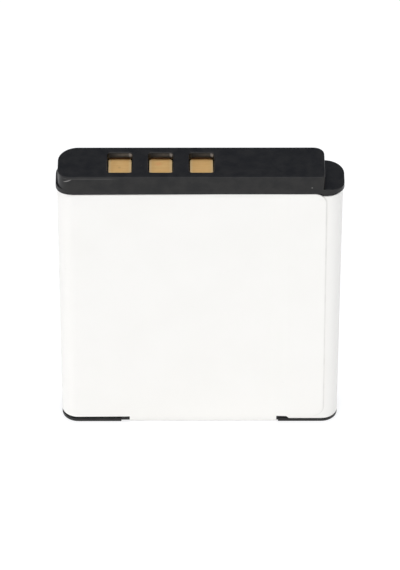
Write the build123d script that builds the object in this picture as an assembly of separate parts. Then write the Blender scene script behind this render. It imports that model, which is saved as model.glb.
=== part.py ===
from build123d import *
import math
import os

# A slim rechargeable battery for a compact camera, in millimetres: a sealed cell between two
# moulded caps, held together by a wrapped film label, with a protection board under the top cap.
# X runs across the front panel, Y from front to back, and Z up. The pack stands on its bottom
# cap, and the origin is the middle of its footprint.

# Whole pack
pack_width = 35.4
pack_depth = 5.9
pack_height = 40.3
pack_corner = 2.2

# Top cap: a raised block on a flange that shows as a step at the right, and a neck below
step_drop = 2.0
step_length = 2.45
flange_thickness = 0.67
flange_edge = 0.1
flange_front_corner = 1.7
flange_back_corner = 2.5
block_left_inset = 0.28
block_left_front_corner = 1.5
block_left_back_corner = 2.5
block_right_front_corner = 0.4
block_right_back_corner = 1.3
block_edge = 0.12
block_roof = 0.7
block_wall = 0.75
block_end_wall = 0.8
cavity_corner = 1.2
neck_height = 1.73
step_pocket_roof = 0.8
step_pocket_wall = 0.7
rib_width = 0.7

# Contact windows and the gold pads under them
contact_names = ("positive", "sense", "negative")
contact_pitch = 5.0
contact_inset = 7.6
window_width = 3.1
window_length = 3.9
window_corner = 0.45
window_ramp = 0.2
window_edge = 0.1
contact_side_gap = 0.15
contact_setback = 0.2
contact_drop = 0.35
contact_thickness = 0.15
contact_corner = 0.35

# Bottom cap: a band flush with the label, and a ribbed tray inside it
bottom_band = 0.58
bottom_edge = 0.2
bottom_cap_height = 1.35
bottom_floor = 0.7
bottom_wall = 0.9
bottom_rib_width = 0.8
bottom_rib_pitch = 6.5
channel_width = 20.0

# Film label: it climbs a little as it goes round, and its outer end laps over its inner end
film = 0.1
cap_proud = 0.15
label_skew = 0.38
label_gap = 0.04
flap_inset = 1.93
flap_corner = 1.5
lap_length = 4.65
lap_ramp = 2.0
inner_end_chamfer = 0.4
tongue_width = 18.7
tongue_shift = 0.42
tongue_rise = 5.0
tongue_corner = 1.5
tongue_bend = 0.25
tongue_relief = 0.02

# Cell: an aluminium can with a welded lid, a pressure vent and one insulated terminal
can_edge = 0.5
lid_seam_inset = 0.35
lid_seam_width = 0.12
lid_score_depth = 0.08
vent_length = 3.6
vent_width = 2.0
vent_x = -6.5
gasket_length = 5.0
gasket_margin = 1.2
gasket_thickness = 0.3
gasket_rim = 0.45
terminal_height = 0.5
tape_thickness = 0.15
tape_margin = 0.1

# Current path from the cell to the board
strip_thickness = 0.15
strip_width = 2.4
strip_bend = 0.3
strip_leg = 2.6
strip_end_gap = 0.5
strip_weld_margin = 0.6
insulator_thickness = 0.2
insulator_gap = 0.15
cutoff_length = 3.4
cutoff_width = 2.8
cutoff_gap = 0.6
cutoff_edge = 0.1
riser_gap = 2.2

# Protection board and what is soldered under it
board_thickness = 0.6
board_gap = 0.1
chip_standoff = 0.1
lead_thickness = 0.15
lead_reach = 0.6
lead_bend = 0.1
driver_length = 2.9
driver_width = 1.6
driver_height = 1.0
driver_lead_pitch = 0.95
driver_leads_per_side = 3
driver_lead_width = 0.4
switch_length = 4.4
switch_width = 3.0
switch_height = 0.9
switch_lead_pitch = 0.65
switch_leads_per_side = 4
switch_lead_width = 0.25
chip_edge = 0.08
large_chip_length = 1.6
large_chip_width = 0.8
large_chip_height = 0.5
small_chip_length = 1.0
small_chip_width = 0.5
small_chip_height = 0.35
chip_end_length = 0.22
chip_end_proud = 0.02
chip_row_pitch = 1.3
foam_margin = 0.2

# Outlines that nest: the flange outside, then the label, then the core that the label wraps
label_width = pack_width - 2 * cap_proud
label_depth = pack_depth - 2 * cap_proud
label_corner = pack_corner - cap_proud
core_width = label_width - 2 * film
core_depth = label_depth - 2 * film
core_corner = label_corner - film
half_width = label_width / 2
half_depth = label_depth / 2
gasket_width = core_depth - 2 * gasket_margin
terminal_length = gasket_length - 2 * gasket_rim
terminal_width = gasket_width - 2 * gasket_rim

# Heights, from the ground up
cell_bottom = bottom_cap_height + tape_thickness
flange_top = pack_height - step_drop
shoulder = flange_top - flange_thickness
cell_top = shoulder - neck_height
insulator_top = cell_top + insulator_thickness
gasket_top = cell_top + gasket_thickness
terminal_top = gasket_top + terminal_height
ceiling = pack_height - block_roof
contact_top = ceiling - contact_drop
board_top = contact_top - contact_thickness
board_bottom = board_top - board_thickness
switch_bottom = board_bottom - chip_standoff - switch_height

# Places along the width
block_left = -pack_width / 2 + block_left_inset
block_right = pack_width / 2 - step_length
cavity_left = block_left + block_end_wall
cavity_right = block_right - block_end_wall
cavity_depth = pack_depth - 2 * block_wall
board_right = cavity_right - board_gap
contact_xs = [block_left + contact_inset + i * contact_pitch for i in range(len(contact_names))]
positive_bend = cavity_left + strip_end_gap
positive_end = positive_bend + strip_leg
gasket_left = -gasket_length / 2
gasket_right = gasket_length / 2
cutoff_left = gasket_right + cutoff_gap
cutoff_right = cutoff_left + cutoff_length
negative_bend = cutoff_right + riser_gap
negative_end = negative_bend - strip_leg
switch_x = (positive_end + gasket_left) / 2
passive_x = (driver_length / 2 + negative_end) / 2
capacitor_x = (negative_bend + board_right) / 2


def between_z(sketch, low, high):
    """Extrude a plan from one height to another."""
    return extrude(Plane.XY.offset(low) * sketch, high - low)


def between_x(sketch, low, high):
    """Extrude a profile drawn in Y and Z from one X to another."""
    return extrude(Plane.YZ.offset(low) * sketch, high - low)


def between_y(sketch, low, high):
    """Extrude a profile drawn in X and Z from one Y to another."""
    return extrude(Plane.XZ.offset(-high) * sketch, high - low)


def plan_between(left, right, depth, corner):
    """A rounded plan outline that runs from one X to another."""
    return Pos((left + right) / 2, 0) * RectangleRounded(right - left, depth, corner)


def rectangle_between(left, right, low, high):
    """A plain rectangle between two values each way."""
    return Pos((left + right) / 2, (low + high) / 2) * Rectangle(right - left, high - low)


def top_edges(part):
    return part.faces().sort_by(Axis.Z)[-1].edges()


def bottom_edges(part):
    return part.faces().sort_by(Axis.Z)[0].edges()


def core_plan():
    return RectangleRounded(core_width, core_depth, core_corner)


def label_plan():
    return RectangleRounded(label_width, label_depth, label_corner)


def cavity_plan(gap=0.0):
    corner = cavity_corner - gap
    return plan_between(cavity_left + gap, cavity_right - gap, cavity_depth - 2 * gap, corner)


def cap_outline(left, right, left_front, right_front, left_back, right_back):
    """A plan as deep as the pack, with a radius of its own at each corner."""
    outline = rectangle_between(left, right, -pack_depth / 2, pack_depth / 2)
    front, back = outline.vertices().group_by(Axis.Y)
    corners = front.sort_by(Axis.X) + back.sort_by(Axis.X)
    radii = (left_front, right_front, left_back, right_back)
    for corner, radius in zip(corners, radii):
        outline = fillet(outline.vertices().sort_by_distance(corner)[0], radius)
    return outline


def top_cap():
    flange = cap_outline(
        -pack_width / 2, pack_width / 2,
        flange_front_corner, flange_front_corner, flange_back_corner, flange_back_corner)
    flange = between_z(flange, shoulder, flange_top)
    flange = fillet(top_edges(flange), flange_edge)
    block = cap_outline(
        block_left, block_right,
        block_left_front_corner, block_right_front_corner, block_left_back_corner, block_right_back_corner)
    block = between_z(block, shoulder, pack_height)
    block = fillet(top_edges(block), block_edge)
    cap = flange + block + between_z(core_plan(), cell_top, shoulder)
    for x in contact_xs:
        cap -= contact_window(x)
    rims = [edge for wire in cap.faces().sort_by(Axis.Z)[-1].inner_wires() for edge in wire.edges()]
    cap = fillet(rims, window_edge)
    cap -= between_z(cavity_plan(), cell_top, ceiling)
    pocket_right = core_width / 2 - step_pocket_wall
    pocket_half = core_depth / 2 - step_pocket_wall
    pocket = rectangle_between(cavity_right - cavity_corner, pocket_right, -pocket_half, pocket_half)
    cap -= between_z(pocket, cell_top, flange_top - step_pocket_roof)
    return cap + board_ribs()


def contact_window(x):
    """What is cut from the roof over a contact. Its back wall leans back to lead a spring in."""
    half = window_length / 2
    profile = Polygon(
        (-half, ceiling), (half - window_ramp, ceiling),
        (half, pack_height), (-half, pack_height), align=None)
    window = between_x(profile, x - window_width / 2, x + window_width / 2)
    return fillet(window.edges().filter_by(Plane.XY, reverse=True), window_corner)


def board_ribs():
    """Ribs under the roof that stop the board, midway between the contacts and on at that pitch."""
    first = contact_xs[0] - contact_pitch / 2
    count = int((board_right - rib_width - first) / contact_pitch) + 1
    ribs = []
    for i in range(count):
        x = first + i * contact_pitch
        strip = rectangle_between(x - rib_width / 2, x + rib_width / 2, -cavity_depth / 2, cavity_depth / 2)
        ribs.append(between_z(strip, board_top, ceiling))
    return ribs


def bottom_cap():
    band = fillet(bottom_edges(between_z(label_plan(), 0, bottom_band)), bottom_edge)
    cap = band + between_z(core_plan(), bottom_band, bottom_cap_height)
    cap -= tongue_channel()
    pocket_corner = core_corner - bottom_wall
    pockets = RectangleRounded(core_width - 2 * bottom_wall, core_depth - 2 * bottom_wall, pocket_corner)
    rib_count = int((core_width / 2 - bottom_wall) / bottom_rib_pitch)
    for i in range(-rib_count, rib_count + 1):
        pockets -= Pos(i * bottom_rib_pitch, 0) * Rectangle(bottom_rib_width, core_depth)
    return cap - between_z(pockets, bottom_floor, bottom_cap_height)


def tongue_channel():
    """What is cut from the bottom cap's front and underside so that the label's tongue lies flush."""
    seat = rectangle_between(-core_depth / 2, half_depth, tongue_relief + film, bottom_cap_height)
    seat = fillet(seat.vertices().group_by(Axis.Y)[0], tongue_bend)
    around = rectangle_between(-pack_depth, pack_depth, -film, bottom_cap_height)
    return between_x(around - seat, -channel_width / 2, channel_width / 2)


def label_wrap():
    turn = half_width - film
    flap_end = half_width - flap_inset
    inner_end = flap_end - lap_length
    climb = math.tan(math.radians(label_skew))
    front_top = shoulder - label_gap
    left_top = front_top - climb * (turn + flap_end)
    right_top = left_top - climb * 2 * turn
    right_bottom = bottom_band + label_gap
    left_bottom = right_bottom + climb * 2 * turn
    front_bottom = left_bottom + climb * (turn + flap_end)
    lean = climb * (front_top - front_bottom) / 2
    beyond = half_width + film

    ring = label_plan() - core_plan()
    tube = between_z(ring, 0, pack_height)
    back_outline = Polygon(
        (-beyond, left_bottom), (-turn, left_bottom), (turn, right_bottom), (beyond, right_bottom),
        (beyond, right_top), (turn, right_top), (-turn, left_top), (-beyond, left_top), align=None)
    inner_outline = rectangle_between(inner_end, beyond, right_bottom, right_top)
    inner_outline = chamfer(inner_outline.vertices().group_by(Axis.X)[0], inner_end_chamfer)
    outer_outline = Polygon(
        (-beyond, left_bottom), (-turn, left_bottom),
        (flap_end + lean, front_bottom), (flap_end - lean, front_top),
        (-turn, left_top), (-beyond, left_top), align=None)
    outer_outline = fillet(outer_outline.vertices().sort_by(Axis.X)[-2:], flap_corner)

    lap = RectangleRounded(label_width + 2 * film, label_depth + 2 * film, label_corner + film)
    lap -= label_plan()
    ramp = Polygon(
        (inner_end, -half_depth - film), (inner_end, -half_depth),
        (inner_end - lap_ramp, -half_depth), align=None)
    outer_plan = (ring & rectangle_between(-beyond, inner_end, -pack_depth, 0)) + ramp
    outer_plan += lap & rectangle_between(inner_end, half_width, -pack_depth, 0)

    back = tube & between_y(back_outline, 0, pack_depth)
    inner = tube & between_y(inner_outline, -pack_depth, 0)
    outer = between_z(outer_plan, 0, pack_height) & between_y(outer_outline, -pack_depth, 0)
    return back + inner + outer + label_tongue(front_bottom + film)


def label_tongue(start):
    """The strip of label that folds under the bottom cap and climbs a little way up the back."""
    front = -half_depth + film / 2
    back = half_depth + film / 2
    under = tongue_relief + film / 2
    path = FilletPolyline(
        (front, start), (front, under), (back, under), (back, tongue_rise), radius=tongue_bend + film / 2)
    strip = trace(path, film)
    tongue = between_x(strip, tongue_shift - tongue_width / 2, tongue_shift + tongue_width / 2)
    return fillet(tongue.edges().filter_by(Axis.Y).group_by(Axis.Z)[-1], tongue_corner)


def cell():
    can = between_z(core_plan(), cell_bottom, cell_top)
    can = fillet(bottom_edges(can), can_edge)
    seam = core_plan_inset(lid_seam_inset) - core_plan_inset(lid_seam_inset + lid_seam_width)
    vent = SlotOverall(vent_length, vent_width)
    vent -= SlotOverall(vent_length - 2 * lid_seam_width, vent_width - 2 * lid_seam_width)
    scores = seam + Pos(vent_x, 0) * vent
    return can - between_z(scores, cell_top - lid_score_depth, cell_top)


def core_plan_inset(inset):
    return RectangleRounded(core_width - 2 * inset, core_depth - 2 * inset, core_corner - inset)


def cell_tape():
    return between_z(core_plan_inset(can_edge + tape_margin), bottom_cap_height, cell_bottom)


def terminal_gasket():
    return between_z(SlotOverall(gasket_length, gasket_width), cell_top, gasket_top)


def cell_terminal():
    return between_z(SlotOverall(terminal_length, terminal_width), gasket_top, terminal_top)


def lid_insulator():
    """A card over the lid, from beside the positive weld to the right end, with a hole for the gasket."""
    depth = cavity_depth - 2 * insulator_gap
    card = plan_between(
        positive_end + insulator_gap, cavity_right - insulator_gap, depth, cavity_corner - insulator_gap)
    card -= SlotOverall(gasket_length + 2 * insulator_gap, gasket_width + 2 * insulator_gap)
    return between_z(card, cell_top, insulator_top)


def bent_strip(lower_end, bend, upper_end, low, high):
    """A flat strip that lies on one level, turns up and lies under another."""
    inside = strip_thickness / 2
    path = FilletPolyline(
        (lower_end, low + inside), (bend, low + inside), (bend, high - inside), (upper_end, high - inside),
        radius=strip_bend)
    return between_y(trace(path, strip_thickness), -strip_width / 2, strip_width / 2)


def positive_tab():
    return bent_strip(positive_end, positive_bend, positive_end, cell_top, board_bottom)


def negative_tab():
    start = cutoff_left + strip_weld_margin
    return bent_strip(start, negative_bend, negative_end, insulator_top, board_bottom)


def negative_lead():
    left = -terminal_length / 2 + strip_weld_margin
    strip = rectangle_between(left, cutoff_right - strip_weld_margin, -strip_width / 2, strip_width / 2)
    return between_z(strip, terminal_top, terminal_top + strip_thickness)


def thermal_cutoff():
    """The resettable fuse between the two negative strips, as thick as the terminal makes it."""
    body = rectangle_between(cutoff_left, cutoff_right, -cutoff_width / 2, cutoff_width / 2)
    body = between_z(body, insulator_top + strip_thickness, terminal_top)
    return chamfer(body.edges().filter_by(Axis.Z), cutoff_edge)


def circuit_board():
    return between_z(cavity_plan(board_gap), board_bottom, board_top)


def contact_pad(x):
    width = window_width - 2 * contact_side_gap
    length = cavity_depth - 2 * (board_gap + contact_setback)
    pad = Pos(x, 0) * RectangleRounded(width, length, contact_corner)
    return between_z(pad, board_top, contact_top)


def leaded_chip(length, width, height, leads, pitch, lead_width):
    """A moulded chip hung under Z = 0, with a row of bent leads along its front and back."""
    middle = -chip_standoff - height / 2
    body = between_z(Rectangle(length, width), -chip_standoff - height, -chip_standoff)
    body = chamfer(body.edges(), chip_edge)
    knee = width / 2 + lead_reach / 2
    path = FilletPolyline(
        (0, middle), (knee, middle), (knee, -lead_thickness / 2),
        (width / 2 + lead_reach, -lead_thickness / 2), radius=lead_bend)
    profile = trace(path, lead_thickness)
    for i in range(leads):
        x = (i - (leads - 1) / 2) * pitch
        lead = between_x(profile, x - lead_width / 2, x + lead_width / 2)
        body += lead + mirror(lead, Plane.XZ)
    return body


def protection_chip():
    chip = leaded_chip(
        driver_length, driver_width, driver_height,
        driver_leads_per_side, driver_lead_pitch, driver_lead_width)
    return Pos(0, 0, board_bottom) * chip


def switch_transistors():
    chip = leaded_chip(
        switch_width, switch_length, switch_height,
        switch_leads_per_side, switch_lead_pitch, switch_lead_width)
    return Pos(switch_x, 0, board_bottom) * Rot(0, 0, 90) * chip


def plain_chip(x, y, length, width, height):
    """A chip with two metal ends, laid along Y under the board."""
    low = board_bottom - height
    body = rectangle_between(x - width / 2, x + width / 2, y - length / 2, y + length / 2)
    chip = between_z(body, low + chip_end_proud, board_bottom - chip_end_proud)
    half = width / 2 + chip_end_proud
    for side in (-1, 1):
        outer = y + side * length / 2
        inner = outer - side * chip_end_length
        end = rectangle_between(x - half, x + half, min(outer, inner), max(outer, inner))
        chip += between_z(end, low, board_bottom)
    return chip


def thermistor():
    return plain_chip(passive_x, -cavity_depth / 4, large_chip_length, large_chip_width, large_chip_height)


def chip_resistors():
    size = (small_chip_length, small_chip_width, small_chip_height)
    y = cavity_depth / 4
    return [plain_chip(passive_x + i * chip_row_pitch, y, *size) for i in (-1, 0, 1)]


def chip_capacitors():
    size = (large_chip_length, large_chip_width, large_chip_height)
    return [plain_chip(capacitor_x + i * chip_row_pitch / 2, 0, *size) for i in (-1, 1)]


def foam_pad():
    """The foam block between the transistors and the lid that holds the board up to its ribs."""
    pad = Pos(switch_x, 0) * Rectangle(switch_length - 2 * foam_margin, switch_width - 2 * foam_margin)
    return between_z(pad, insulator_top, switch_bottom)


nodes = {
    "top_cap": top_cap(),
    "bottom_cap": bottom_cap(),
    "label_wrap": label_wrap(),
    "cell": cell(),
    "cell_tape": cell_tape(),
    "terminal_gasket": terminal_gasket(),
    "cell_terminal": cell_terminal(),
    "lid_insulator": lid_insulator(),
    "positive_tab": positive_tab(),
    "negative_lead": negative_lead(),
    "thermal_cutoff": thermal_cutoff(),
    "negative_tab": negative_tab(),
    "circuit_board": circuit_board(),
    "protection_chip": protection_chip(),
    "switch_transistors": switch_transistors(),
    "thermistor": thermistor(),
    "chip_resistors": chip_resistors(),
    "chip_capacitors": chip_capacitors(),
    "foam_pad": foam_pad(),
}
for name, x in zip(contact_names, contact_xs):
    nodes[f"contact_{name}"] = contact_pad(x)

os.makedirs("parts", exist_ok=True)
for name, shape in nodes.items():
    export_step(Compound(shape) if isinstance(shape, list) else shape, f"parts/{name}.step")
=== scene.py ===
import bpy
import math
from mathutils import Matrix, Vector


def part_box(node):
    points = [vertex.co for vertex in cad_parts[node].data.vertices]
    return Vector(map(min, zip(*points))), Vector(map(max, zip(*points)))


# The looks of a slim camera battery: a white film label round a sealed cell, with black moulded
# caps and three gold contact pads. Lengths are in metres, in the same frame as the solids.

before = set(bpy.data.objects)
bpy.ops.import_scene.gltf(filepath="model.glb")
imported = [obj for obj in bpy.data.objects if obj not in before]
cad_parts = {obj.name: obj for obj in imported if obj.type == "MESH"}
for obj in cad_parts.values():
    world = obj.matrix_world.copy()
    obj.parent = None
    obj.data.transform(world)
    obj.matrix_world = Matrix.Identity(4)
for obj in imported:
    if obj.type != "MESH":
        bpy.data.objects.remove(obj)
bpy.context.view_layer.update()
MM = 0.001

# The pack's front face and its front corners lie before this plane
FRONT = -2.0 * MM

# A Mix node has sockets for each type of data, so those for colours go by number
MIX_FACTOR, MIX_A, MIX_B, MIX_RESULT = 0, 6, 7, 2


def mm(*lengths):
    """Lengths in metres, from millimetres."""
    return tuple(length * MM for length in lengths)


class Paint:
    """A node material with a Principled shader, and short calls that add nodes to it."""

    def __init__(self, name, **constants):
        self.material = bpy.data.materials.new(name)
        self.material.use_nodes = True
        self.tree = self.material.node_tree
        self.shader = self.tree.nodes["Principled BSDF"]
        for socket, value in constants.items():
            self.shader.inputs[socket.replace("_", " ")].default_value = value
        self.place = self.add("ShaderNodeTexCoord").outputs["Object"]

    def add(self, kind, **settings):
        node = self.tree.nodes.new(kind)
        for name, value in settings.items():
            setattr(node, name, value)
        return node

    def join(self, source, node, socket):
        """Link an output to a socket, or set the socket to a plain value."""
        if isinstance(source, bpy.types.NodeSocket):
            self.tree.links.new(source, node.inputs[socket])
        else:
            node.inputs[socket].default_value = source

    def scaled(self, size, stretch):
        """The object's coordinates, counted in features of that size."""
        mapping = self.add("ShaderNodeMapping")
        self.join(self.place, mapping, "Vector")
        mapping.inputs["Scale"].default_value = [1 / (size * s) for s in stretch]
        return mapping.outputs["Vector"]

    def noise(self, size, stretch=(1, 1, 1), detail=2.0):
        """Soft noise with features of about that size, longer where stretch is more than 1."""
        node = self.add("ShaderNodeTexNoise")
        self.join(self.scaled(size, stretch), node, "Vector")
        node.inputs["Scale"].default_value = 1.0
        node.inputs["Detail"].default_value = detail
        return node.outputs["Fac"]

    def cells(self, size, stretch=(1, 1, 1), feature="F1"):
        """Distance from the nearest of scattered points about that size apart, or from the
        borders between them."""
        node = self.add("ShaderNodeTexVoronoi", feature=feature)
        self.join(self.scaled(size, stretch), node, "Vector")
        node.inputs["Scale"].default_value = 1.0
        return node.outputs["Distance"]

    def axis(self, name):
        """One of the object's coordinates."""
        split = self.add("ShaderNodeSeparateXYZ")
        self.join(self.place, split, "Vector")
        return split.outputs[name]

    def facing(self, name):
        """One part of the surface normal."""
        split = self.add("ShaderNodeSeparateXYZ")
        self.join(self.add("ShaderNodeNewGeometry").outputs["Normal"], split, "Vector")
        return split.outputs[name]

    def math(self, operation, a, b=0.0):
        node = self.add("ShaderNodeMath", operation=operation)
        self.join(a, node, 0)
        self.join(b, node, 1)
        return node.outputs["Value"]

    def times(self, first, *others):
        """The product of several values."""
        for other in others:
            first = self.math("MULTIPLY", first, other)
        return first

    def squares(self, a, b):
        """The sum of two squares."""
        return self.math("ADD", self.times(a, a), self.times(b, b))

    def away(self, value, middle):
        """How far a value is from a middle one, either way."""
        return self.math("ABSOLUTE", self.math("SUBTRACT", value, middle))

    def on_front(self):
        """1 at the pack's front and 0 elsewhere."""
        return self.math("LESS_THAN", self.axis("Y"), FRONT)

    def fade(self, value, low, high, start=0.0, end=1.0):
        """A smooth step from one number to another as the value goes from low to high."""
        node = self.add("ShaderNodeMapRange", interpolation_type="SMOOTHSTEP")
        sockets = ("Value", "From Min", "From Max", "To Min", "To Max")
        for socket, given in zip(sockets, (value, low, high, start, end)):
            self.join(given, node, socket)
        return node.outputs["Result"]

    def band(self, value, rise, fall):
        """1 in a band that fades in over the first pair of values and out over the second."""
        return self.times(self.fade(value, *rise), self.fade(value, *fall, 1.0, 0.0))

    def spot(self, centre, radius, softness):
        """1 inside a round patch and 0 outside it."""
        node = self.add("ShaderNodeVectorMath", operation="DISTANCE")
        self.join(self.place, node, 0)
        node.inputs[1].default_value = centre
        return self.fade(node.outputs["Value"], radius - softness, radius + softness, 1.0, 0.0)

    def mix(self, factor, a, b):
        """A colour between two others."""
        node = self.add("ShaderNodeMix", data_type="RGBA")
        self.join(factor, node, MIX_FACTOR)
        for socket, colour in ((MIX_A, a), (MIX_B, b)):
            if not isinstance(colour, bpy.types.NodeSocket):
                colour = (*colour, 1.0)
            self.join(colour, node, socket)
        return node.outputs[MIX_RESULT]

    def blend(self, noise, a, b):
        """From one colour to another over the middle of a noise's range."""
        return self.mix(self.fade(noise, 0.3, 0.7), a, b)

    def colour(self, source):
        self.join(source, self.shader, "Base Color")

    def roughness(self, source):
        self.join(source, self.shader, "Roughness")

    def metal(self, source):
        self.join(source, self.shader, "Metallic")

    def bump(self, height, depth):
        """Raise the surface by that depth where the height is 1. Calls add up."""
        node = self.add("ShaderNodeBump")
        node.inputs["Distance"].default_value = depth
        self.join(height, node, "Height")
        socket = self.shader.inputs["Normal"]
        if socket.is_linked:
            self.join(socket.links[0].from_socket, node, "Normal")
        self.tree.links.new(node.outputs["Normal"], socket)


def from_middle(paint, node, axis):
    """How far a point is from a node's middle along an axis, and half of the node's size there."""
    low, high = (corner["XYZ".index(axis)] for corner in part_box(node))
    return paint.away(paint.axis(axis), (low + high) / 2), (high - low) / 2


def below_roof(paint):
    """How far a point is below the top face of the top cap."""
    return paint.math("SUBTRACT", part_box("top_cap")[1].z, paint.axis("Z"))


def cap_plastic():
    """Black moulded plastic: a fine grain, cloudy handling marks, dust, painted light, a painted glint
    and painted shaded gold in the contact windows, and painted highlights on the top front edge.
    """
    deep, cloudy = (0.0004, 0.0004, 0.0006), (0.0075, 0.0069, 0.0062)
    # Colours of the painted light and the painted glint on the windows' back walls, and of the brown
    # painted behind each pad as its gold in shadow
    painted_light, painted_glint, painted_shaded_gold = (0.074, 0.066, 0.055), (0.24, 0.22, 0.20), (0.22, 0.10, 0.03)
    # A painted highlight colour for the block's top front edge, and real dust
    painted_highlight, dust = (0.24, 0.23, 0.22), (0.16, 0.155, 0.145)
    paint = Paint("black_moulding", Specular_IOR_Level=0.37)
    body = paint.blend(paint.noise(1.3 * MM, detail=4.0), deep, cloudy)
    for mask, colour in zip(window_painted_masks(paint), (painted_light, painted_glint, painted_shaded_gold)):
        body = paint.mix(mask, body, colour)
    body = paint.mix(edge_highlights(paint), body, painted_highlight)
    specks = paint.fade(paint.cells(2.6 * MM), 0.018, 0.05, 0.8, 0.0)
    paint.colour(paint.mix(specks, body, dust))
    grain = paint.noise(0.28 * MM, detail=3.0)
    paint.roughness(paint.fade(grain, 0.25, 0.75, 0.34, 0.46))
    paint.bump(grain, 0.010 * MM)
    paint.bump(paint.noise(0.09 * MM), 0.005 * MM)
    return paint.material


def window_painted_masks(paint):
    """Masks for each contact window: painted light on its back wall, lighter towards the wall's right
    end, streaky and strongest in the first window; a painted glint at the wall's right end; and a brown
    painted on the cap behind the pad as the pad's gold in shadow."""
    wall_depths = mm(1.66, 1.72), mm(1.94, 1.99)
    wall_drops = mm(0.08, 0.22), mm(0.44, 0.62)
    behind_depths = mm(2.04, 2.10), mm(2.3, 2.4)
    shaded_gold_heights = mm(0.1, 0.3)
    glint_place = 1.27 * MM

    first_low, first_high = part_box("contact_positive")
    pitch = (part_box("contact_negative")[0].x - first_low.x) / 2
    row_half = 1.5 * pitch
    row_left = (first_low.x + first_high.x) / 2 - pitch / 2
    along_row = paint.math("SUBTRACT", paint.axis("X"), row_left)
    in_row = paint.math("LESS_THAN", paint.away(along_row, row_half), row_half)
    across = paint.math("SUBTRACT", paint.math("MODULO", along_row, pitch), pitch / 2)
    back = paint.axis("Y")
    above_pad = paint.math("SUBTRACT", paint.axis("Z"), first_high.z)

    wall = paint.times(
        in_row, paint.band(back, *wall_depths), paint.band(below_roof(paint), *wall_drops))
    streaks = paint.fade(paint.noise(0.3 * MM, detail=3.0), 0.2, 0.7, 0.6, 1.0)
    window_strength = paint.fade(along_row, pitch / 2, 2.5 * pitch, 1.0, 0.5)
    # Painted light on each back wall, fading out towards the wall's left end, where it leaves painted
    # shade
    lit_wall_mask = paint.times(wall, window_strength, streaks, paint.fade(across, *mm(-1.3, 0.4)))
    # A painted glint at each back wall's right end
    from_glint = paint.away(across, glint_place)
    glint_mask = paint.times(wall, paint.fade(from_glint, *mm(0.08, 0.26), 0.8, 0.0))
    # A brown painted on the cap behind each pad, standing in for the pad's gold seen in shadow
    shaded_gold_mask = paint.times(
        in_row, paint.band(back, *behind_depths), paint.fade(above_pad, *shaded_gold_heights, 1.0, 0.0))
    return lit_wall_mask, glint_mask, shaded_gold_mask


def edge_highlights(paint):
    """A patchy painted highlight along the left part of the block's top front edge, and a short painted
    highlight round its left corner.
    """
    edge_drop = 0.26 * MM
    highlight_x, highlight_drop, highlight_slope = -16.2 * MM, 0.58 * MM, 0.45
    highlight_half_length, highlight_half_width = mm(0.5, 0.09)

    across, drop = paint.axis("X"), below_roof(paint)
    # Painted highlight along the top front edge, on its left part only
    painted_light = paint.times(
        paint.fade(paint.away(drop, edge_drop), *mm(0.03, 0.14), 0.12, 0.0),
        paint.fade(paint.axis("Y"), *mm(-2.8, -2.6), 1.0, 0.0),
        paint.fade(paint.noise(3.0 * MM, detail=4.0), 0.35, 0.6),
        paint.fade(across, *mm(-12.0, -7.0), 1.0, 0.0))
    # A painted highlight oval round the block's left front corner
    from_highlight = paint.math("SUBTRACT", across, highlight_x)
    levelled = paint.math("ADD", drop, paint.times(from_highlight, highlight_slope))
    along = paint.math("DIVIDE", from_highlight, highlight_half_length)
    down = paint.math("DIVIDE", paint.math("SUBTRACT", levelled, highlight_drop), highlight_half_width)
    oval = paint.fade(paint.squares(along, down), 0.2, 1.4, 0.8, 0.0)
    return paint.math("MAXIMUM", painted_light, paint.times(oval, paint.on_front()))


def label_film():
    """Satin white film with a slight orange peel, a few specks, painted shade at its bottom fold, and a
    painted shadow along its flap's edge."""
    dull, bright = (0.889, 0.870, 0.822), (0.901, 0.882, 0.836)
    speck, fold_shade, seam_shadow = (0.62, 0.60, 0.55), (0.35, 0.36, 0.36), (0.30, 0.28, 0.25)
    paint = Paint("white_film", Specular_IOR_Level=0.42)
    body = paint.blend(paint.noise(7 * MM), dull, bright)
    body = paint.mix(paint.fade(paint.cells(1.9 * MM), 0.015, 0.04, 0.35, 0.0), body, speck)
    # Painted shade, greying the film towards the bottom fold
    body = paint.mix(paint.fade(paint.axis("Z"), *mm(0.35, 1.05), 0.06, 0.0), body, fold_shade)
    # A painted shadow beside the flap's edge
    paint.colour(paint.mix(flap_seam_shadow(paint), body, seam_shadow))
    peel = paint.noise(0.9 * MM)
    paint.roughness(paint.fade(peel, 0.3, 0.7, 0.36, 0.46))
    paint.bump(peel, 0.004 * MM)
    paint.bump(paint.noise(0.12 * MM), 0.0012 * MM)
    return paint.material


def flap_seam_shadow(paint):
    """A thin painted shadow just outside the flap's free edge and round its two corners, on the front.
    The edge leans, because the label climbs a little as it goes round."""
    edge_at_ground, lean, corner = 15.748 * MM, 0.00663, 1.5 * MM
    low, high = mm(1.07, 37.59)
    straight_half = (high - low) / 2 - corner

    height = paint.axis("Z")
    upright = paint.math("ADD", paint.axis("X"), paint.times(height, lean))
    past = paint.math("MAXIMUM", paint.math("SUBTRACT", upright, edge_at_ground - corner), 0.0)
    from_centre = paint.away(height, (low + high) / 2)
    beyond = paint.math("MAXIMUM", paint.math("SUBTRACT", from_centre, straight_half), 0.0)
    outside = paint.math("SUBTRACT", paint.math("SQRT", paint.squares(past, beyond)), corner)
    return paint.times(
        paint.band(outside, mm(-0.12, -0.03), mm(0.03, 0.14)),
        paint.fade(past, *mm(0.1, 0.5)),
        paint.fade(paint.noise(2.5 * MM, detail=3.0), 0.25, 0.65, 0.10, 0.22),
        paint.on_front())


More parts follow.
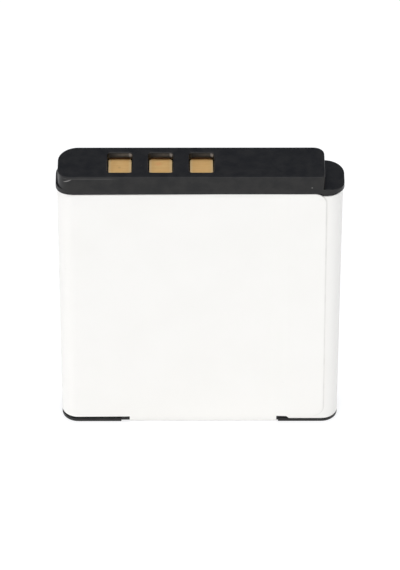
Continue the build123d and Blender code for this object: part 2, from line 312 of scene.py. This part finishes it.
def contact_gold(name, node, mark=None):
    """Gold plate with fine lines from the copper under it, painted light along its left and right edges,
    and a mark if one is given.
    """
    plate, bright = (0.90, 0.622, 0.277), (0.92, 0.655, 0.305)
    groove, edge = (0.72, 0.45, 0.18), (1.0, 0.82, 0.50)
    light_rim_width, light_rim_strength = 0.45 * MM, 0.7
    paint = Paint(name, Metallic=1.0)
    lines = paint.noise(0.07 * MM, stretch=(26, 1, 1))
    body = paint.blend(paint.noise(1.3 * MM, detail=3.0), plate, bright)
    body = paint.mix(paint.fade(lines, 0.35, 0.8, 0.0, 0.22), body, groove)
    if mark:
        low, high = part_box(node)
        centre = (low + high) / 2 + Vector((mark["across"], mark["back"], 0))
        centre.z = high.z
        spot = paint.spot(centre, mark["radius"], mark["softness"])
        body = paint.mix(paint.times(spot, mark["strength"]), body, mark["tint"])
    away, half = from_middle(paint, node, "X")
    # Painted light along the pad's left and right edges, offsetting the shade from the window's side
    # walls
    paint.colour(paint.mix(paint.fade(away, half - light_rim_width, half, 0.0, light_rim_strength), body, edge))
    paint.roughness(paint.fade(lines, 0.25, 0.75, 0.68, 0.80))
    paint.bump(lines, 0.003 * MM)
    return paint.material


def can_aluminium():
    """Deep-drawn aluminium: long upright draw lines over a cloudy sheen."""
    paint = Paint("drawn_aluminium", Metallic=1.0)
    lines = paint.noise(0.11 * MM, stretch=(1, 1, 160), detail=3.0)
    body = paint.blend(paint.noise(5 * MM, detail=3.0), (0.70, 0.71, 0.72), (0.80, 0.805, 0.81))
    paint.colour(paint.mix(paint.fade(lines, 0.5, 0.85, 0.0, 0.35), body, (0.55, 0.56, 0.57)))
    paint.roughness(paint.fade(lines, 0.25, 0.75, 0.26, 0.42))
    paint.bump(lines, 0.003 * MM)
    return paint.material


def nickel():
    """Rolled nickel strip with roll lines and the dimples of spot welds."""
    paint = Paint("rolled_nickel", Metallic=1.0)
    lines = paint.noise(0.06 * MM, stretch=(40, 1, 40))
    dimples = paint.fade(paint.cells(0.9 * MM), 0.12, 0.3, 1.0, 0.0)
    body = paint.blend(lines, (0.62, 0.585, 0.53), (0.71, 0.675, 0.62))
    paint.colour(paint.mix(dimples, body, (0.36, 0.33, 0.30)))
    paint.roughness(paint.fade(lines, 0.25, 0.75, 0.22, 0.36))
    paint.bump(lines, 0.002 * MM)
    paint.bump(dimples, -0.02 * MM)
    return paint.material


def gasket_plastic():
    """Milky polypropylene."""
    paint = Paint("milky_plastic", Specular_IOR_Level=0.45)
    cloud = paint.noise(0.8 * MM, detail=3.0)
    paint.colour(paint.blend(cloud, (0.60, 0.61, 0.60), (0.69, 0.69, 0.67)))
    paint.roughness(paint.fade(cloud, 0.3, 0.7, 0.36, 0.5))
    paint.bump(paint.noise(0.1 * MM), 0.003 * MM)
    return paint.material


def insulating_card():
    """Grey-green pressed fibre card."""
    paint = Paint("fibre_card", Specular_IOR_Level=0.3)
    along = paint.noise(0.06 * MM, stretch=(14, 1, 4))
    across = paint.noise(0.06 * MM, stretch=(1, 14, 4))
    fibres = paint.math("MAXIMUM", along, across)
    paint.colour(paint.mix(paint.fade(fibres, 0.45, 0.8), (0.17, 0.22, 0.20), (0.30, 0.36, 0.32)))
    paint.roughness(paint.fade(fibres, 0.4, 0.8, 0.72, 0.88))
    paint.bump(fibres, 0.012 * MM)
    return paint.material


def adhesive_tape():
    """Amber transfer tape with small trapped bubbles."""
    paint = Paint("amber_tape", Specular_IOR_Level=0.5)
    bubbles = paint.fade(paint.cells(0.5 * MM), 0.15, 0.3, 1.0, 0.0)
    cloud = paint.noise(3 * MM)
    body = paint.blend(cloud, (0.50, 0.36, 0.16), (0.58, 0.43, 0.21))
    paint.colour(paint.mix(bubbles, body, (0.70, 0.58, 0.36)))
    paint.roughness(paint.fade(cloud, 0.3, 0.7, 0.3, 0.45))
    paint.bump(bubbles, 0.01 * MM)
    return paint.material


def cutoff_body():
    """Dark green resin coat over a resettable fuse, slightly runny."""
    paint = Paint("green_resin", Specular_IOR_Level=0.5)
    runs = paint.noise(0.5 * MM)
    paint.colour(paint.blend(runs, (0.012, 0.045, 0.030), (0.020, 0.070, 0.044)))
    paint.roughness(paint.fade(runs, 0.3, 0.7, 0.22, 0.38))
    paint.bump(runs, 0.02 * MM)
    return paint.material


def board_laminate():
    """Black solder mask over copper tracks, with the glass layers showing along the cut edge."""
    paint = Paint("board_black", Specular_IOR_Level=0.4)
    flat = paint.fade(paint.math("ABSOLUTE", paint.facing("Z")), 0.4, 0.6)
    borders = paint.cells(1.1 * MM, stretch=(1.6, 0.8, 40), feature="DISTANCE_TO_EDGE")
    tracks = paint.fade(borders, 0.10, 0.16)
    mask = paint.mix(tracks, (0.0045, 0.0045, 0.0050), (0.011, 0.010, 0.0095))
    layers = paint.noise(0.05 * MM, stretch=(20, 20, 1))
    edge = paint.mix(paint.fade(layers, 0.35, 0.65), (0.30, 0.27, 0.14), (0.48, 0.44, 0.26))
    paint.colour(paint.mix(flat, edge, mask))
    paint.roughness(paint.fade(flat, 0.0, 1.0, 0.75, 0.32))
    paint.bump(tracks, 0.015 * MM)
    paint.bump(layers, 0.004 * MM)
    return paint.material


def tinned(paint, ends, body, body_roughness):
    """Finish a chip: its own body, and bright tin where the ends mask is 1."""
    tin, tin_roughness = (0.66, 0.655, 0.64), 0.3
    paint.colour(paint.mix(ends, body, tin))
    paint.metal(ends)
    paint.roughness(paint.fade(ends, 0.0, 1.0, body_roughness, tin_roughness))
    paint.bump(paint.noise(0.06 * MM), 0.003 * MM)
    return paint.material


def chip_mould(name, node, axis):
    """Black moulded epoxy, with tinned leads past the body's two long sides."""
    lead_reach = 0.6 * MM
    paint = Paint(name, Specular_IOR_Level=0.4)
    away, half = from_middle(paint, node, axis)
    leads = paint.math("GREATER_THAN", away, half - lead_reach)
    grain = paint.noise(0.05 * MM, detail=3.0)
    body = paint.blend(grain, (0.010, 0.010, 0.011), (0.024, 0.024, 0.025))
    return tinned(paint, leads, body, 0.6)


def chip_ceramic(name, node, dark, light):
    """A small fired chip with tinned ends."""
    end_length = 0.22 * MM
    paint = Paint(name, Specular_IOR_Level=0.4)
    away, half = from_middle(paint, node, "Y")
    ends = paint.math("GREATER_THAN", away, half - end_length)
    body = paint.blend(paint.noise(0.08 * MM, detail=3.0), dark, light)
    return tinned(paint, ends, body, 0.55)


def foam():
    """Charcoal open-cell foam."""
    paint = Paint("open_foam", Specular_IOR_Level=0.2)
    pores = paint.fade(paint.cells(0.22 * MM), 0.1, 0.55)
    paint.colour(paint.mix(pores, (0.012, 0.012, 0.013), (0.055, 0.055, 0.058)))
    paint.roughness(paint.fade(pores, 0.0, 1.0, 0.98, 0.86))
    paint.bump(pores, 0.06 * MM)
    return paint.material


# Every solid's finish
cap = cap_plastic()
strip = nickel()
pin_mark = dict(
    across=-0.06 * MM, back=0.30 * MM, radius=0.14 * MM, softness=0.12 * MM,
    strength=0.28, tint=(0.50, 0.28, 0.11))
stain = dict(
    across=-0.28 * MM, back=0.95 * MM, radius=0.34 * MM, softness=0.30 * MM,
    strength=0.32, tint=(0.94, 0.46, 0.20))
grey_chip = (0.10, 0.09, 0.085), (0.16, 0.15, 0.14)
black_chip = (0.012, 0.012, 0.014), (0.028, 0.028, 0.03)
tan_chip = (0.34, 0.22, 0.13), (0.44, 0.30, 0.18)
finishes = {
    "top_cap": cap,
    "bottom_cap": cap,
    "label_wrap": label_film(),
    "contact_positive": contact_gold("gold_plate_1", "contact_positive", pin_mark),
    "contact_sense": contact_gold("gold_plate_2", "contact_sense", stain),
    "contact_negative": contact_gold("gold_plate_3", "contact_negative"),
    "cell": can_aluminium(),
    "cell_terminal": strip,
    "positive_tab": strip,
    "negative_lead": strip,
    "negative_tab": strip,
    "terminal_gasket": gasket_plastic(),
    "lid_insulator": insulating_card(),
    "cell_tape": adhesive_tape(),
    "thermal_cutoff": cutoff_body(),
    "circuit_board": board_laminate(),
    "protection_chip": chip_mould("black_epoxy_1", "protection_chip", "Y"),
    "switch_transistors": chip_mould("black_epoxy_2", "switch_transistors", "X"),
    "thermistor": chip_ceramic("grey_chip", "thermistor", *grey_chip),
    "chip_resistors": chip_ceramic("black_chip", "chip_resistors", *black_chip),
    "chip_capacitors": chip_ceramic("tan_chip", "chip_capacitors", *tan_chip),
    "foam_pad": foam(),
}
for name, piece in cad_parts.items():
    piece.material_slots[0].material = finishes[name]


# Floor, light and camera
def seen_directly(tree):
    """1 for the rays that show the surface itself or its reflection, and 0 for scattered light."""
    rays = tree.nodes.new("ShaderNodeLightPath")
    total = rays.outputs["Is Camera Ray"]
    for other in ("Is Glossy Ray", "Is Transmission Ray"):
        node = tree.nodes.new("ShaderNodeMath")
        node.operation = "MAXIMUM"
        tree.links.new(total, node.inputs[0])
        tree.links.new(rays.outputs[other], node.inputs[1])
        total = node.outputs["Value"]
    return total


def make_floor(half_size, bounce, shadow, glow):
    """A plain white floor that shows white and still takes the object's soft shadow. Scattered light
    meets the bounce shade, and the camera sees the glow plus what light falls on the shadow shade."""
    mesh = bpy.data.meshes.new("floor")
    signs = ((-1, -1), (1, -1), (1, 1), (-1, 1))
    corners = [(x * half_size, y * half_size, 0.0) for x, y in signs]
    mesh.from_pydata(corners, [], [(0, 1, 2, 3)])
    floor = bpy.data.objects.new("floor", mesh)
    bpy.context.scene.collection.objects.link(floor)
    material = bpy.data.materials.new("studio_floor")
    material.use_nodes = True
    tree = material.node_tree
    tree.nodes.remove(tree.nodes["Principled BSDF"])

    def shade(kind, level):
        node = tree.nodes.new(kind)
        node.inputs["Color"].default_value = (level, level, level, 1.0)
        return node.outputs[0]

    shown = tree.nodes.new("ShaderNodeAddShader")
    tree.links.new(shade("ShaderNodeBsdfDiffuse", shadow), shown.inputs[0])
    tree.links.new(shade("ShaderNodeEmission", glow), shown.inputs[1])
    choice = tree.nodes.new("ShaderNodeMixShader")
    tree.links.new(seen_directly(tree), choice.inputs[0])
    tree.links.new(shade("ShaderNodeBsdfDiffuse", bounce), choice.inputs[1])
    tree.links.new(shown.outputs[0], choice.inputs[2])
    tree.links.new(choice.outputs[0], tree.nodes["Material Output"].inputs["Surface"])
    mesh.materials.append(material)


def make_world(white_to, dim_from, dim):
    """White round the horizon up to one angle, in degrees, and a dimmer studio from another."""
    white = (1.0, 1.0, 1.0)
    world = bpy.data.worlds.new("studio")
    bpy.context.scene.world = world
    world.use_nodes = True
    tree = world.node_tree
    split = tree.nodes.new("ShaderNodeSeparateXYZ")
    tree.links.new(tree.nodes.new("ShaderNodeTexCoord").outputs["Generated"], split.inputs[0])
    ramp = tree.nodes.new("ShaderNodeValToRGB")
    ramp.color_ramp.interpolation = "EASE"
    for i, (angle, colour) in enumerate(((white_to, white), (dim_from, dim))):
        stop = ramp.color_ramp.elements[i]
        stop.position = math.sin(math.radians(angle))
        stop.color = (*colour, 1.0)
    tree.links.new(split.outputs["Z"], ramp.inputs["Fac"])
    tree.links.new(ramp.outputs["Color"], tree.nodes["Background"].inputs["Color"])


def add_softbox(name, toward, spread, level, glints=True):
    """A broad, even lamp from that direction, which lights a white sheet that faces it to the level
    given. Without glints it lights the surfaces and isn't mirrored in them."""
    lamp = bpy.data.lights.new(name, "SUN")
    lamp.angle = math.radians(spread)
    lamp.energy = level * math.pi
    piece = bpy.data.objects.new(name, lamp)
    piece.rotation_euler = Vector(toward).to_track_quat("Z", "Y").to_euler()
    piece.visible_glossy = glints
    bpy.context.scene.collection.objects.link(piece)


def add_camera(aim, yaw, elevation, roll, distance, lens):
    """A camera that looks at the aim from that distance and direction, in degrees."""
    yaw, elevation, roll = (math.radians(angle) for angle in (yaw, elevation, roll))
    level = math.cos(elevation)
    back = Vector((math.sin(yaw) * level, -math.cos(yaw) * level, math.sin(elevation)))
    data = bpy.data.cameras.new("camera")
    data.lens = lens
    data.sensor_width = 36.0
    data.clip_start = 0.01
    data.clip_end = 20.0
    camera = bpy.data.objects.new("camera", data)
    turn = back.to_track_quat("Z", "Y").to_matrix() @ Matrix.Rotation(roll, 3, "Z")
    camera.matrix_world = Matrix.LocRotScale(Vector(aim) + distance * back, turn, None)
    bpy.context.scene.collection.objects.link(camera)
    bpy.context.scene.camera = camera


make_floor(half_size=6.0, bounce=0.66, shadow=0.34, glow=0.72)
make_world(white_to=6, dim_from=20, dim=(0.172, 0.194, 0.25))
add_softbox("key", toward=(0.02, -0.69, 0.72), spread=110, level=0.703)
add_softbox("left", toward=(-0.97, -0.12, 0.20), spread=60, level=0.31)
add_softbox("top", toward=(0.0, 0.16, 0.99), spread=50, level=0.18)
add_softbox("back", toward=(0.25, 0.92, 0.30), spread=80, level=0.22, glints=False)
add_camera(
    aim=mm(0.017, 0.0, 20.558), yaw=-0.241, elevation=40.486, roll=0.108,
    distance=556.5 * MM, lens=280.69)
bpy.context.scene.view_settings.view_transform = "Standard"
